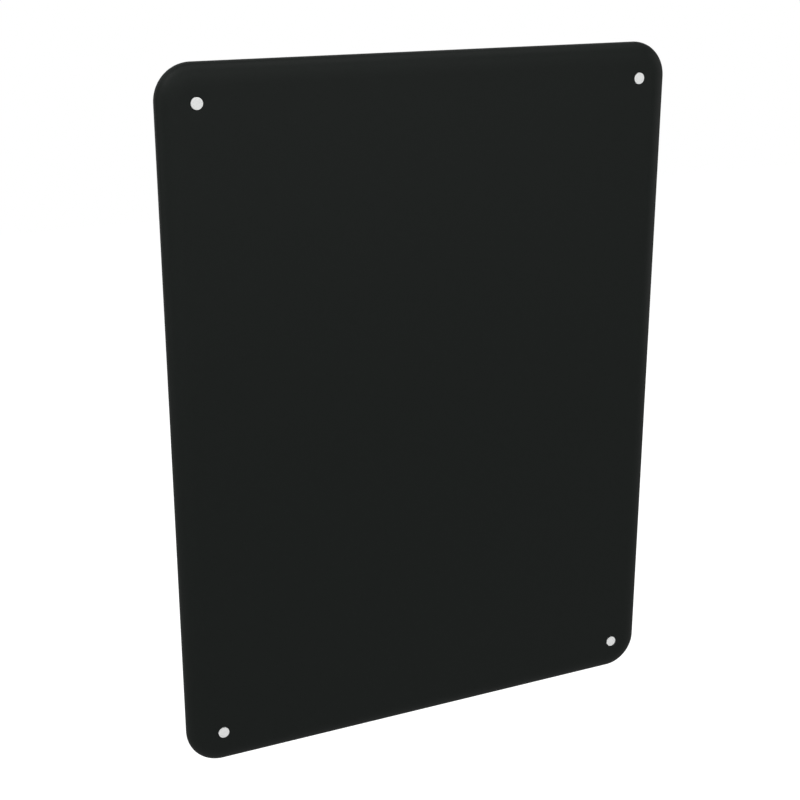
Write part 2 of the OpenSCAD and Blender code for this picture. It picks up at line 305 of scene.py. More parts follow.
def cover(name, side, seam_angle, fixing_r, floor_y, gather, fold_reach):
    """A fabric cover. side is 1 for the front and -1 for the rear. Its rolled edge is a curve carried round
    the panel, from the flat face to the seam, where it turns in beside the welt. The flat face dips into a
    cup at each fixing, where the cloth rolls over a rim and lies under the washer or the flange. gather is
    how deep the folds in the corners are, and fold_reach how far from the seam they die out."""
    fold_pitch, fold_spread, pitch_drift, drift_rate = 0.0092, 0.8, 1.3, 71
    edge = edge_curve(0, np.linspace(90 * side, seam_angle, SECTION_STEPS))
    tangent = np.gradient(edge, axis=0)
    tangent /= np.linalg.norm(tangent, axis=1)[:, None]
    outward = np.stack([tangent[:, 1], -tangent[:, 0]], -1) * -side
    length = np.concatenate([[0], np.cumsum(np.linalg.norm(np.diff(edge, axis=0), axis=1))])
    # Gathers: the cloth's spare width in the corners stands in small folds, as a cosine whose pitch drifts
    corner = np.sin(BENDS * math.pi) ** fold_spread
    drift = pitch_drift * np.sin(WALKED * drift_rate)
    folds = 0.5 - 0.5 * np.cos(2 * math.pi * WALKED / fold_pitch + drift)
    depth = (length / length[-1]) ** 2 * np.exp(-((length[-1] - length) / fold_reach) ** 2)
    drawn = gather * corner[:, None] * folds[:, None] * depth
    curve = edge[None] - outward[None] * drawn[..., None]
    # Roll into the seam: a quarter turn about a point under the cover's end
    turn = np.linspace(0, math.pi / 2, ROLL_STEPS)[1:]
    pivot = curve[:, -1] - outward[-1] * SEAM_ROLL_R
    spokes = outward[-1] * np.cos(turn)[:, None] + tangent[-1] * np.sin(turn)[:, None]
    roll = pivot[:, None] + SEAM_ROLL_R * spokes
    band = carried(np.concatenate([curve, roll], 1))
    # The flat face's ripple fades out over the rolled edge
    share = np.clip((MID_Y - band[..., 1]) / (HALF_T * side), 0, 1) ** 2
    band[..., 1] += side * share * ripple(band[..., 0], band[..., 2])
    reach = FLAT_R + np.concatenate([length, length[-1] + SEAM_ROLL_R * turn])
    band_cloth = CENTRES[:, None] + NORMALS[:, None] * reach[:, None]

    # A cup's rim rolls a little wider than the cloth is thick, so that its inner side stays round
    rim_spare = 0.0001
    plane_y = MID_Y - HALF_T * side
    cup = cup_profile(plane_y, side, fixing_r, COVER_T + rim_spare, floor_y, SLEEVE_R + LAYER_GAP)
    patches = [(band, band_cloth, True, False)] + broad_face(plane_y, side, ripple, cup)
    piece = build(name, patches, facing=((0, plane_y, 0), (0, -side, 0)))
    wall = piece.modifiers.new("cloth thickness", "SOLIDIFY")
    wall.thickness = COVER_T
    wall.offset = -1
    return piece


def welt(name):
    """The welt: a circle carried round the panel along the seam. Its radius falls a little by the product of
    a long and a short sine, as cloth over cord does."""
    thinner, long_wave, short_wave = 0.012, 0.031, 0.0127
    centre = edge_curve(COVER_T / 2, -SEAM_ANGLE)
    around = np.linspace(0, 2 * math.pi, WELT_SIDES, endpoint=False)
    walked = WALKED * 2 * math.pi
    uneven = 1 - thinner * (1 + np.sin(walked / long_wave) * np.sin(walked / short_wave))
    circle = np.stack([np.cos(around), np.sin(around)], -1)
    curve = centre + WELT_R * uneven[:, None, None] * circle
    cloth = np.stack(np.broadcast_arrays(WALKED[:, None], WELT_R * around[None]), -1)
    return build(name, [(carried(curve), cloth, True, True)])


def pad(name, side, fixing_r, floor_y):
    """A fibre pad. Outside it follows its cover, a wrap's thickness inside it, with a groove for the welt.
    Inside it is a shallow tray that half of the frame lies in, and the four sleeves pass through it."""
    rim_r, tray_fillet = 0.0006, 0.001
    outer = edge_curve(WRAP_T, np.linspace(90 * side, 0, SECTION_STEPS))
    from_welt = outer - edge_curve(COVER_T / 2, -SEAM_ANGLE)
    away = np.linalg.norm(from_welt, axis=1)[:, None]
    groove_r = WELT_R + LAYER_GAP
    outer = np.where(away < groove_r, outer + from_welt * (groove_r / away - 1), outer)
    tray_u, tray_v = CORNER_R - FRAME_INSET + LAYER_GAP, side * FRAME_T / 2
    inner = filleted([outer[-1], (tray_u, 0), (tray_u, tray_v), (FLAT_R, tray_v)], tray_fillet)
    band = carried(np.concatenate([outer, inner[1:]]))
    plane_v = side * (HALF_T - WRAP_T)
    share = np.clip((MID_Y - band[..., 1]) / plane_v * 2 - 1, 0, 1) ** 2
    outside = np.arange(band.shape[1]) < SECTION_STEPS
    band[..., 1] += side * share * outside * lumpy(band[..., 0], band[..., 2])

    sleeve_r = SLEEVE_R + LAYER_GAP
    cup = cup_profile(MID_Y - plane_v, side, fixing_r + WRAP_T, rim_r, floor_y, sleeve_r, MID_Y - tray_v)
    patches = [(band, None, True, False)]
    patches += broad_face(MID_Y - plane_v, side, lumpy, cup)
    patches += broad_face(MID_Y - tray_v, -side, still, [(sleeve_r, MID_Y - tray_v)])
    return build(name, patches)


def batt(name):
    """The absorber batt: a cross-shaped slab that leaves room for the corner blocks. Both faces swell and
    dip by half a millimetre, by a sum of sines, as felted fibre does, and fall off towards the cut sides.
    These bulge by a fourth power from face to face."""
    swell_size, edge_fall, edge_reach, drawn = 0.00035, 0.0004, 0.004, 0.0008
    end_steps, bulge_steps = 4, 8
    core_x, core_z = (half - FRAME_INSET - BAR_W - LAYER_GAP for half in (HALF_W, HALF_H))
    notch, half_t = BLOCK_W - BAR_W, FRAME_T / 2
    in_x, in_z = core_x - notch, core_z - notch
    xs, zs = (np.linspace(-i, i, round(2 * i / STRAIGHT_STEP) + 1) for i in (in_x, in_z))
    end_x, end_z = (np.linspace(i, c - drawn, end_steps + 1) for i, c in ((in_x, core_x), (in_z, core_z)))

    def level(x, z):
        """How far each face lies from the middle plane."""
        swell = np.sin(31 * x + 2 * np.sin(17 * z)) * np.sin(27 * z + 1) + 0.4 * np.sin(93 * x + 71 * z)
        edge = np.minimum(core_x - np.abs(x), core_z - np.abs(z))
        edge = np.minimum(edge, np.maximum(in_x - np.abs(x), in_z - np.abs(z)) + notch)
        return half_t - swell_size * (1.2 + swell / 1.4) - edge_fall * np.exp(-edge / edge_reach)

    patches = []
    for side in (1, -1):
        for gx, gz in ((xs, zs), (xs, end_z), (xs, -end_z), (end_x, zs), (-end_x, zs)):
            x, z = np.meshgrid(gx, gz, indexing="ij")
            patches.append((np.stack([x, MID_Y - side * level(x, z), z], -1), None, False, False))
    # The side walls: the cross's outline, walked once round, and a shallow bulge from face to face
    corner = [(in_x, core_z - drawn), (in_x, in_z), (core_x - drawn, in_z)]
    turns = []
    for sx, sz in ((1, 1), (1, -1), (-1, -1), (-1, 1)):
        turns += [(sx * x, sz * z) for x, z in corner[::sx * sz]]
    steps = [end_steps, end_steps, len(zs) - 1, end_steps, end_steps, len(xs) - 1] * 2
    points, normals = [], []
    for (start, end), count in zip(zip(turns, turns[1:] + turns[:1]), steps):
        start, end = np.array(start), np.array(end)
        out = np.array([-(end - start)[1], (end - start)[0]])
        points += list(np.linspace(start, end, count, endpoint=False))
        normals += [out / np.linalg.norm(out)] * count
    points, normals = np.array(points), np.array(normals)
    normals = (normals + np.roll(normals, 1, axis=0)) / 2
    across = np.linspace(-1, 1, bulge_steps + 1)
    bulge = drawn * (1 - across ** 4)
    wall = points[:, None] + normals[:, None] * bulge[:, None]
    y = MID_Y + across * level(points[:, 0], points[:, 1])[:, None]
    patches.append((np.stack([wall[..., 0], y, wall[..., 1]], -1), None, True, False))
    return build(name, patches)


def spun(radius, level, turn, x, z):
    """Points at a radius and a level along Y, turned about a line along Y through x and z."""
    return np.stack([x + radius * np.cos(turn), level + 0 * turn, z + radius * np.sin(turn)], -1)


def spanner_patch(near, ring_r, way_out, x, z):
    """Part of a flange's face with a blind hole: a patch that shrinks from a sector of the ring to a circle
    and goes down the hole to the middle of its floor. near holds the sector's turns, ring_r the radii of its
    rings."""
    border = np.concatenate([
        np.stack([ring_r[0] * np.cos(near), ring_r[0] * np.sin(near)], -1),
        ring_r[1:, None] * [math.cos(near[-1]), math.sin(near[-1])],
        np.stack([ring_r[-1] * np.cos(near[-2::-1]), ring_r[-1] * np.sin(near[-2::-1])], -1),
        ring_r[-2:0:-1, None] * [math.cos(near[0]), math.sin(near[0])]])
    middle = SPANNER_PLACE * np.array([math.cos(way_out), math.sin(way_out)])
    way = (border - middle) / np.linalg.norm(border - middle, axis=1)[:, None]
    t = np.linspace(0, 1, len(ring_r))[:, None, None]
    face = (1 - t) * border + t * (middle + way * SPANNER_R)
    # The hole's rows, as shares of its radius and depth: half way down, the foot of the wall, and the floor
    hole_r, hole_depth = [1, 1, 0.5, 0], [0.5, 1, 1, 1]
    hole = middle + way * (SPANNER_R * np.array(hole_r)[:, None, None])
    depth = SPANNER_DEPTH * np.array([0] * len(ring_r) + hole_depth)
    grid = np.concatenate([face, hole])
    hole_y = REAR_Y - np.repeat(depth[:, None], len(border), 1)
    return np.stack([x + grid[..., 0], hole_y, z + grid[..., 1]], -1), None, False, True


def sleeve_nut(name, x, z):
    """A flanged sleeve. Its outside, its front end and its stepped bore are a profile spun about its line.
    The rear half of the bore is an M8 thread: a radius that rises and falls once a pitch along a helix, as a
    clipped triangle wave. The flange has two blind holes for a pin spanner."""
    chamfer, fillet, step, lead = 0.0004, 0.00015, 0.0004, 0.0008
    steep, flat = 1.3, 0.15
    thread_rows, fillet_steps, hole_half, rings = 112, 3, 6, 5
    sides = TURNED_SIDES
    turn = np.linspace(0, 2 * math.pi, sides, endpoint=False)
    face_r = FLANGE_R - chamfer
    flange_y = REAR_Y - FLANGE_T
    thread_y = REAR_Y - THREAD_L
    body = filleted([(face_r, REAR_Y), (FLANGE_R, REAR_Y - chamfer), (FLANGE_R, flange_y),
                     (SLEEVE_R, flange_y), (SLEEVE_R, SLEEVE_TOP_Y), (SCREW_BORE_R, SLEEVE_TOP_Y),
                     (SCREW_BORE_R, thread_y), (THREAD_R, thread_y + step), (THREAD_R, thread_y + lead)],
                    fillet, fillet_steps)
    y = np.linspace(body[-1, 1], REAR_Y, thread_rows)[1:, None]
    phase = np.mod(y / THREAD_PITCH - turn / (2 * math.pi), 1)
    groove = np.clip((1 - np.abs(2 * phase - 1)) * steep - flat, 0, 1)
    ends = np.clip((y - body[-1, 1]) / THREAD_PITCH, 0, 1)
    thread = np.maximum(THREAD_R + THREAD_DEPTH * groove * ends, MOUTH_R + (y - REAR_Y))
    thread[-1] = MOUTH_R
    radius = np.concatenate([np.repeat(body[:, :1], sides, 1), thread])
    level = np.concatenate([np.repeat(body[:, 1:], sides, 1), y + 0 * turn])
    patches = [(spun(radius, level, turn, x, z), None, False, True)]
    # The flange's face: a plain sector on each side, and one round each spanner hole
    ring_r = np.linspace(MOUTH_R, face_r, rings)
    ring_y = np.full((rings, 1), REAR_Y)
    turn = np.append(turn, 2 * math.pi)
    for half in (0, 1):
        plain = turn[np.arange(hole_half, sides // 2 - hole_half + 1) + half * sides // 2]
        patches.append((spun(ring_r[:, None], ring_y, plain, x, z), None, False, False))
        near = turn[1] * np.arange(-hole_half, hole_half + 1) + math.pi * half
        patches.append(spanner_patch(near, ring_r, math.pi * half, x, z))
    return build(name, patches, crease=60)


def cap(name, x, z):
    """A cover cap: a profile of (radius, y) points spun about its line. It has a disc with a crown, as a
    parabola, and a rounded rim, a shallow recess under it, and a peg with two snap ribs and a chamfered
    tip."""
    disc_t, rim_r, crown, bevel = 0.0014, 0.0005, 0.0001, 0.0001
    recess_r, recess_t, recess_slope = CAP_R - 0.0012, 0.0003, 0.0002
    peg_r, peg_tip, root_r, root_w, root_t = 0.00240, 0.0004, 0.00260, 0.0008, 0.0002
    rib, rib_half, rib_places = 0.00004, 0.0002, (0.0004, 0.0012)
    crown_points = 8
    under = CAP_TOP + disc_t
    crown_r = CAP_R - rim_r
    profile = [(crown_r * t, CAP_TOP + crown * t * t) for t in np.linspace(0, 1, crown_points)]
    for a in np.linspace(0, math.pi / 2, ROLL_STEPS + 2)[1:]:
        profile.append((crown_r + rim_r * math.sin(a), CAP_TOP + crown + rim_r * (1 - math.cos(a))))
    profile += [(CAP_R, under - bevel), (CAP_R - bevel, under), (recess_r, under),
                (recess_r - recess_slope, under - recess_t), (root_r + root_w, under - recess_t),
                (root_r, under - root_t), (peg_r, under)]
    for place in rib_places:
        start = under + place
        profile += [(peg_r, start), (peg_r + rib, start + rib_half), (peg_r, start + 2 * rib_half)]
    profile += [(peg_r, CAP_TIP - peg_tip), (peg_r - peg_tip, CAP_TIP), (0, CAP_TIP)]
    radius, level = np.array(profile).T[..., None]
    turn = np.linspace(0, 2 * math.pi, TURNED_SIDES, endpoint=False)
    return build(name, [(spun(radius, level, turn, x, z), None, False, True)])


# Node groups and materials

def node_group(name, inputs, outputs):
    """An empty shader group, with its input and output nodes. inputs and outputs are (label, kind) pairs."""
    group = bpy.data.node_groups.new(name, "ShaderNodeTree")
    for label, kind in inputs:
        group.interface.new_socket(label, in_out="INPUT", socket_type=f"NodeSocket{kind}")
    for label, kind in outputs:
        group.interface.new_socket(label, in_out="OUTPUT", socket_type=f"NodeSocket{kind}")
    return group, group.nodes.new("NodeGroupInput"), group.nodes.new("NodeGroupOutput")


def maths(tree, operation, a, b=None, c=None):
    """A Math node. a, b and c are numbers or sockets."""
    node = tree.nodes.new("ShaderNodeMath")
    node.operation = operation
    for socket, value in zip(node.inputs, (a, b, c)):
        if value is None:
            continue
        if isinstance(value, (int, float)):
            socket.default_value = value
        else:
            tree.links.new(value, socket)
    return node.outputs[0]


def spread(tree, value, low, high):
    """Carries a value from 0..1 to low..high."""
    return maths(tree, "MULTIPLY_ADD", value, high - low, low)


def mixed(tree, factor, a, b, blend="MIX"):
    """A colour Mix node. factor, a and b are values or sockets."""
    node = tree.nodes.new("ShaderNodeMix")
    node.data_type = "RGBA"
    node.blend_type = blend
    for socket, value in ((node.inputs[0], factor), (node.inputs[6], a), (node.inputs[7], b)):
        if isinstance(value, bpy.types.NodeSocket):
            tree.links.new(value, socket)
        else:
            socket.default_value = value if isinstance(value, (int, float)) else (*value, 1)
    return node.outputs[2]


def noise(tree, vector, scale, detail=2.0, roughness=0.5):
    """A Noise Texture from 0 to 1. scale is how many features lie in a metre."""
    node = tree.nodes.new("ShaderNodeTexNoise")
    node.inputs["Scale"].default_value = scale
    node.inputs["Detail"].default_value = detail
    node.inputs["Roughness"].default_value = roughness
    tree.links.new(vector, node.inputs["Vector"])
    return node.outputs["Fac"]


# The height of a plain weave's threads, averaged over the cloth
MEAN_HEIGHT = 0.617


def plain_weave():
    """Group: a plain weave. Its inputs are the place on the cloth, in metres, the thread pitch, how unlike
    the stitches are, and how much shade is painted into the hollows between threads. Its outputs are the
    threads' height from 0 to 1 and a shade that averages 1: a random tone for each stitch, plus painted
    shade that darkens the hollows and lightens the crowns. A thread is round across its width, and rises
    over every second thread that crosses it, as a sine along its length."""
    thread_swing, roundness = 0.45, 0.6
    group, given, made = node_group(
        "plain weave", [("Place", "Vector"), ("Pitch", "Float"), ("Unlike", "Float"), ("Hollow", "Float")],
        [("Height", "Float"), ("Shade", "Float")])
    split = group.nodes.new("ShaderNodeSeparateXYZ")
    group.links.new(given.outputs["Place"], split.inputs[0])
    # Threads wander a little from straight lines
    wander = spread(group, noise(group, given.outputs["Place"], scale=60), -thread_swing, thread_swing)
    across, along = (maths(group, "DIVIDE", split.outputs[axis], given.outputs["Pitch"]) for axis in (0, 1))
    across, along = maths(group, "ADD", across, wander), maths(group, "SUBTRACT", along, wander)
    warp_number, weft_number = maths(group, "FLOOR", across), maths(group, "FLOOR", along)
    heights = []
    for thread, number, other, shift in ((across, warp_number, along, 0), (along, weft_number, across, 1)):
        width = maths(group, "SINE", maths(group, "MULTIPLY", thread, math.pi))
        round_top = maths(group, "POWER", maths(group, "ABSOLUTE", width), roundness)
        crossing = maths(group, "ADD", maths(group, "ADD", other, number), shift)
        rise = maths(group, "SINE", maths(group, "MULTIPLY", crossing, math.pi))
        over = maths(group, "MULTIPLY_ADD", rise, 0.5, 0.5)
        heights.append(maths(group, "MULTIPLY", round_top, over))
    top = maths(group, "MAXIMUM", *heights)
    group.links.new(top, made.inputs["Height"])
    stitch = group.nodes.new("ShaderNodeCombineXYZ")
    group.links.new(warp_number, stitch.inputs[0])
    group.links.new(weft_number, stitch.inputs[1])
    dice = group.nodes.new("ShaderNodeTexWhiteNoise")
    group.links.new(stitch.outputs[0], dice.inputs["Vector"])
    centred = maths(group, "SUBTRACT", dice.outputs["Value"], 0.5)
    unlike = maths(group, "MULTIPLY", centred, given.outputs["Unlike"])
    # Painted shade: below the threads' mean height, in the hollows between them, the colour is darkened, and
    # above it lightened
    raised = maths(group, "SUBTRACT", top, MEAN_HEIGHT)
    hollow = maths(group, "MULTIPLY", raised, given.outputs["Hollow"])
    group.links.new(maths(group, "ADD", 1.0, maths(group, "ADD", unlike, hollow)), made.inputs["Shade"])
    return group


def place_group(tree, group, **values):
    """A copy of a node group in a material, with its own values: numbers or sockets, by the inputs'
    names."""
    node = tree.nodes.new("ShaderNodeGroup")
    node.node_tree = group
    for name, value in values.items():
        socket = node.inputs[name.capitalize()]
        if isinstance(value, bpy.types.NodeSocket):
            tree.links.new(value, socket)
        else:
            socket.default_value = value
    return node


def new_material(name):
    """A node material with only its shader and output. Returns the material, its tree and the shader."""
    material = bpy.data.materials.new(name)
    material.use_nodes = True
    return material, material.node_tree, material.node_tree.nodes["Principled BSDF"]


def coordinates(tree, kind):
    """Object coordinates, or the cloth attribute, as a vector socket."""
    if kind == "cloth":
        node = tree.nodes.new("ShaderNodeAttribute")
        node.attribute_name = "cloth"
        return node.outputs["Vector"]
    return tree.nodes.new("ShaderNodeTexCoord").outputs["Object"]


def turned(tree, vector, rotation=(0, 0, 0), scale=(1, 1, 1)):
    """A vector turned and stretched by a Mapping node. A scale below 1 draws a pattern out along that
    axis."""
    node = tree.nodes.new("ShaderNodeMapping")
    node.inputs["Rotation"].default_value = rotation
    node.inputs["Scale"].default_value = scale
    tree.links.new(vector, node.inputs["Vector"])
    return node.outputs["Vector"]


def bump(tree, shader, height, distance, strength=1.0):
    """Lets a height from 0 to 1 raise the surface by a distance in metres."""
    node = tree.nodes.new("ShaderNodeBump")
    node.inputs["Distance"].default_value = distance
    node.inputs["Strength"].default_value = strength
    tree.links.new(height, node.inputs["Height"])
    tree.links.new(node.outputs["Normal"], shader.inputs["Normal"])


def scaled_colour(tree, colour, shade):
    """A colour times a shade round 1."""
    node = tree.nodes.new("ShaderNodeVectorMath")
    node.operation = "SCALE"
    node.inputs[0].default_value = colour
    tree.links.new(shade, node.inputs["Scale"])
    return node.outputs["Vector"]


WEAVE = plain_weave()


def cloth_material(name, colour, pitch, slant=0.0):
    """Upholstery crepe: a fine plain weave in a near-black yarn, with hairs that soften it. The yarn's dull
    gloss is a thin coat, which stays low at a glancing view, as it does on cloth."""
    material, tree, shader = new_material(name)
    place = turned(tree, coordinates(tree, "cloth"), rotation=(0, 0, slant))
    # The weave's shade is a random tone for each stitch plus painted shade in the hollows between threads
    weave = place_group(tree, WEAVE, place=place, pitch=pitch, unlike=0.30, hollow=1.1)
    hairs = noise(tree, place, scale=2600, detail=3.0, roughness=0.65)
    cloudy = noise(tree, place, scale=9)
    tone = maths(tree, "MULTIPLY", spread(tree, hairs, 0.70, 1.30), spread(tree, cloudy, 0.97, 1.03))
    shade = maths(tree, "MULTIPLY", weave.outputs["Shade"], tone)
    tree.links.new(scaled_colour(tree, colour, shade), shader.inputs["Base Color"])
    tree.links.new(spread(tree, hairs, 0.75, 0.95), shader.inputs["Roughness"])
    hollow_gloss = CLOTH_GLOSS * (1 - MEAN_HEIGHT)
    gloss = spread(tree, weave.outputs["Height"], hollow_gloss, hollow_gloss + CLOTH_GLOSS)
    tree.links.new(gloss, shader.inputs["Coat Weight"])
    height = maths(tree, "ADD", weave.outputs["Height"], maths(tree, "MULTIPLY", hairs, 0.5))
    bump(tree, shader, height, distance=0.0001, strength=0.6)
    shader.inputs["Specular IOR Level"].default_value = 0
    shader.inputs["Coat Roughness"].default_value = CLOTH_COAT_ROUGHNESS
    return material


def fibre_material(name, colour):
    """Bonded polyester fibre: a pale felt of fine crossed hairs with soft clouds."""
    material, tree, shader = new_material(name)
    place = coordinates(tree, "object")
    drawn_out = 0.15
    upright, level = (noise(tree, turned(tree, place, scale=scale), scale=900, detail=4.0, roughness=0.7)
                      for scale in ((1, 1, drawn_out), (drawn_out, 1, 1)))
    clouds = noise(tree, place, scale=40, detail=3.0)
    felt = maths(tree, "MAXIMUM", upright, level)
    shade = maths(tree, "ADD", spread(tree, felt, 0.75, 1.10), maths(tree, "MULTIPLY", clouds, 0.12))
    tree.links.new(scaled_colour(tree, colour, shade), shader.inputs["Base Color"])
    tree.links.new(spread(tree, felt, 0.80, 0.95), shader.inputs["Roughness"])
    bump(tree, shader, felt, distance=0.0004)
    shader.inputs["Sheen Weight"].default_value = 0.2
    return material


def timber_material(name, early, late, grain_axis, rings_per_metre=165):
    """Planed timber: growth rings cut along the grain, fine fibres and a few darker streaks. The rings are
    planes that a slow and a quick noise bend, and each darkens as a power from its early wood to its late
    wood."""
    material, tree, shader = new_material(name)
    drawn_out, tilt, slow_bend, quick_bend, late_power = 0.06, 0.6, 5.0, 0.9, 2.5
    stretch = tuple(drawn_out if axis == grain_axis else 1.0 for axis in range(3))
    place = turned(tree, coordinates(tree, "object"), scale=stretch)
    slow = noise(tree, place, scale=14, detail=3.0)
    quick = noise(tree, place, scale=130)
    split = tree.nodes.new("ShaderNodeSeparateXYZ")
    tree.links.new(place, split.inputs[0])
    sideways = split.outputs[0 if grain_axis != 0 else 2]
    across = maths(tree, "ADD", sideways, maths(tree, "MULTIPLY", split.outputs[1], tilt))
    bent = maths(tree, "MULTIPLY_ADD", slow, slow_bend, maths(tree, "MULTIPLY", quick, quick_bend))
    ring = maths(tree, "FRACT", maths(tree, "MULTIPLY_ADD", across, rings_per_metre, bent))
    ring = maths(tree, "MULTIPLY", maths(tree, "POWER", ring, late_power), spread(tree, quick, 0.2, 1.4))
    fibres = noise(tree, place, scale=2200, detail=3.0, roughness=0.6)
    colour = mixed(tree, ring, early, late)
    grain = scaled_colour(tree, early, spread(tree, fibres, 0.85, 1.15))
    tree.links.new(mixed(tree, 0.35, colour, grain, blend="MULTIPLY"), shader.inputs["Base Color"])
    tree.links.new(spread(tree, fibres, 0.50, 0.75), shader.inputs["Roughness"])
    bump(tree, shader, maths(tree, "MULTIPLY_ADD", ring, 0.2, fibres), distance=0.0001, strength=0.5)
    return material


def plywood_material(name, light, dark):
    """Plywood: veneers stacked through the thickness, every second one darker, with a long grain on the
    faces."""
    material, tree, shader = new_material(name)
    veneer_t = 0.0014
    place = coordinates(tree, "object")
    split = tree.nodes.new("ShaderNodeSeparateXYZ")
    tree.links.new(place, split.inputs[0])
    pair = maths(tree, "FRACT", maths(tree, "DIVIDE", split.outputs[1], 2 * veneer_t))
    veneer = maths(tree, "GREATER_THAN", pair, 0.5)
    fibres = noise(tree, turned(tree, place, scale=(1, 1, 0.08)), scale=900, detail=4.0, roughness=0.6)
    figure = noise(tree, turned(tree, place, scale=(1, 1, 0.2)), scale=35)
    darkness = maths(tree, "MULTIPLY_ADD", figure, 0.6, maths(tree, "MULTIPLY", veneer, 0.35))
    colour = mixed(tree, darkness, light, dark)
    grain = scaled_colour(tree, light, spread(tree, fibres, 0.85, 1.15))
    tree.links.new(mixed(tree, 0.3, colour, grain, blend="MULTIPLY"), shader.inputs["Base Color"])
    tree.links.new(spread(tree, fibres, 0.55, 0.75), shader.inputs["Roughness"])
    bump(tree, shader, fibres, distance=0.0001, strength=0.5)
    return material


def steel_material(name, colour, roughness):
    """Zinc-plated steel: fine turning lines and a soft blotchy bloom."""
    material, tree, shader = new_material(name)
    vary = 0.09
    place = coordinates(tree, "object")
    lines = noise(tree, turned(tree, place, scale=(1, 6, 1)), scale=1500)
    bloom = noise(tree, place, scale=160, detail=3.0)
    shade = maths(tree, "ADD", spread(tree, bloom, 0.70, 1.04), maths(tree, "MULTIPLY", lines, 0.26))
    tree.links.new(scaled_colour(tree, colour, shade), shader.inputs["Base Color"])
    shader.inputs["Metallic"].default_value = 1
    tree.links.new(spread(tree, bloom, roughness - vary, roughness + vary), shader.inputs["Roughness"])
    bump(tree, shader, lines, distance=0.00002, strength=0.5)
    return material


def cap_material(name, colour):
    """Moulded plastic with a fine spark-eroded skin and a trace of handling."""
    material, tree, shader = new_material(name)
    place = coordinates(tree, "object")
    grain = noise(tree, place, scale=3200, roughness=0.6)
    drift = noise(tree, place, scale=120)
    shade = maths(tree, "ADD", spread(tree, grain, 0.97, 1.01), maths(tree, "MULTIPLY", drift, 0.02))
    tree.links.new(scaled_colour(tree, colour, shade), shader.inputs["Base Color"])
    tree.links.new(spread(tree, grain, 0.38, 0.54), shader.inputs["Roughness"])
    bump(tree, shader, grain, distance=0.00002, strength=0.5)
    shader.inputs["Specular IOR Level"].default_value = 0.3
    return material


CLOTH_COLOUR = (0.0048, 0.0061, 0.0054)
CLOTH_GLOSS, CLOTH_COAT_ROUGHNESS = 0.131, 0.38
WEAVE_PITCH = 0.0009
EARLY_PINE, LATE_PINE = (0.70, 0.50, 0.28), (0.52, 0.31, 0.13)
cover_cloth = cloth_material("cover cloth", CLOTH_COLOUR, WEAVE_PITCH)
welt_cloth = cloth_material("welt cloth", CLOTH_COLOUR, WEAVE_PITCH, slant=math.radians(45))
pad_fibre = fibre_material("pad fibre", (0.70, 0.69, 0.65))
core_fibre = fibre_material("core fibre", (0.80, 0.78, 0.71))
stile_pine = timber_material("stile pine", EARLY_PINE, LATE_PINE, grain_axis=2)
rail_pine = timber_material("rail pine", EARLY_PINE, LATE_PINE, grain_axis=0)
dowel_beech = timber_material("dowel beech", (0.66, 0.46, 0.29), (0.64, 0.44, 0.27), grain_axis=2,
                              rings_per_metre=600)
block_plywood = plywood_material("block plywood", (0.66, 0.47, 0.27), (0.50, 0.31, 0.15))
nut_steel = steel_material("nut steel", (0.54, 0.55, 0.55), 0.34)
washer_steel = steel_material("washer steel", (0.50, 0.51, 0.52), 0.42)
screw_steel = steel_material("screw steel", (0.46, 0.47, 0.48), 0.34)
cap_plastic = cap_material("cap plastic", (0.582, 0.588, 0.582))


def finish_piece(piece, body, material, slot, *replaced):
    """Gives a new piece its material and body, and hides the CAD nodes that it stands for.
    slot is not used.
    """
    piece.data.materials.append(material)
    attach(piece, body)
    if replaced:
        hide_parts(*replaced)


def dress(node, material):
    """Gives a CAD node its material."""
    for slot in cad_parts[node].material_slots:
        slot.material = material


# Pieces

# How far a degree goes along the section at the seam, and how many degrees a cover ends away from it
seam_speed = np.linalg.norm(np.diff(edge_curve(0, np.array([-0.5, 0.5]) - SEAM_ANGLE), axis=0))
seam_space = (WELT_R + LAYER_GAP / 2 + SEAM_ROLL_R) / seam_speed
front_skin = cover("front_cover_cloth", 1, seam_space - SEAM_ANGLE, CAP_R + DIP_GAP, WASHER_Y,
                   gather=0.00025, fold_reach=0.007)
finish_piece(front_skin, "panel", cover_cloth, "cover_fabric", "front_cover")
rear_skin = cover("rear_cover_cloth", -1, -seam_space - SEAM_ANGLE, FLANGE_R + DIP_GAP, REAR_Y - FLANGE_T,
                  gather=0.00045, fold_reach=0.011)
finish_piece(rear_skin, "panel", cover_cloth, "cover_fabric", "rear_cover")
welt_piece = welt("seam_welt_cloth")
finish_piece(welt_piece, "panel", welt_cloth, "welt_fabric", "seam_welt")
front_fibre = pad("front_pad_fibre", 1, CAP_R + DIP_GAP, WASHER_Y + WRAP_T)
finish_piece(front_fibre, "panel", pad_fibre, "pad_fibre", "front_pad")
rear_fibre = pad("rear_pad_fibre", -1, FLANGE_R + DIP_GAP, REAR_Y - FLANGE_T - WRAP_T)
finish_piece(rear_fibre, "panel", pad_fibre, "pad_fibre", "rear_pad")
core = batt("sound_core_batt")
finish_piece(core, "panel", core_fibre, "core_fibre", "sound_core")

for corner, (sx, sz) in CORNERS.items():
    disc = cap(f"cover_cap_{corner}", sx * FIXING_X, sz * FIXING_Z)
    finish_piece(disc, f"cap_{corner}", cap_plastic, "cap_plastic", f"cap_{corner}")
    nut = sleeve_nut(f"sleeve_nut_threaded_{corner}", sx * FIXING_X, sz * FIXING_Z)
    finish_piece(nut, "panel", nut_steel, "nut_steel", f"sleeve_nut_{corner}")
    dress(f"washer_{corner}", washer_steel)
    dress(f"screw_{corner}", screw_steel)
    dress(f"corner_block_{corner}", block_plywood)
for node in ("left_stile", "right_stile"):
    dress(node, stile_pine)
for node in ("top_rail", "bottom_rail"):
    dress(node, rail_pine)
dress("frame_dowels", dowel_beech)

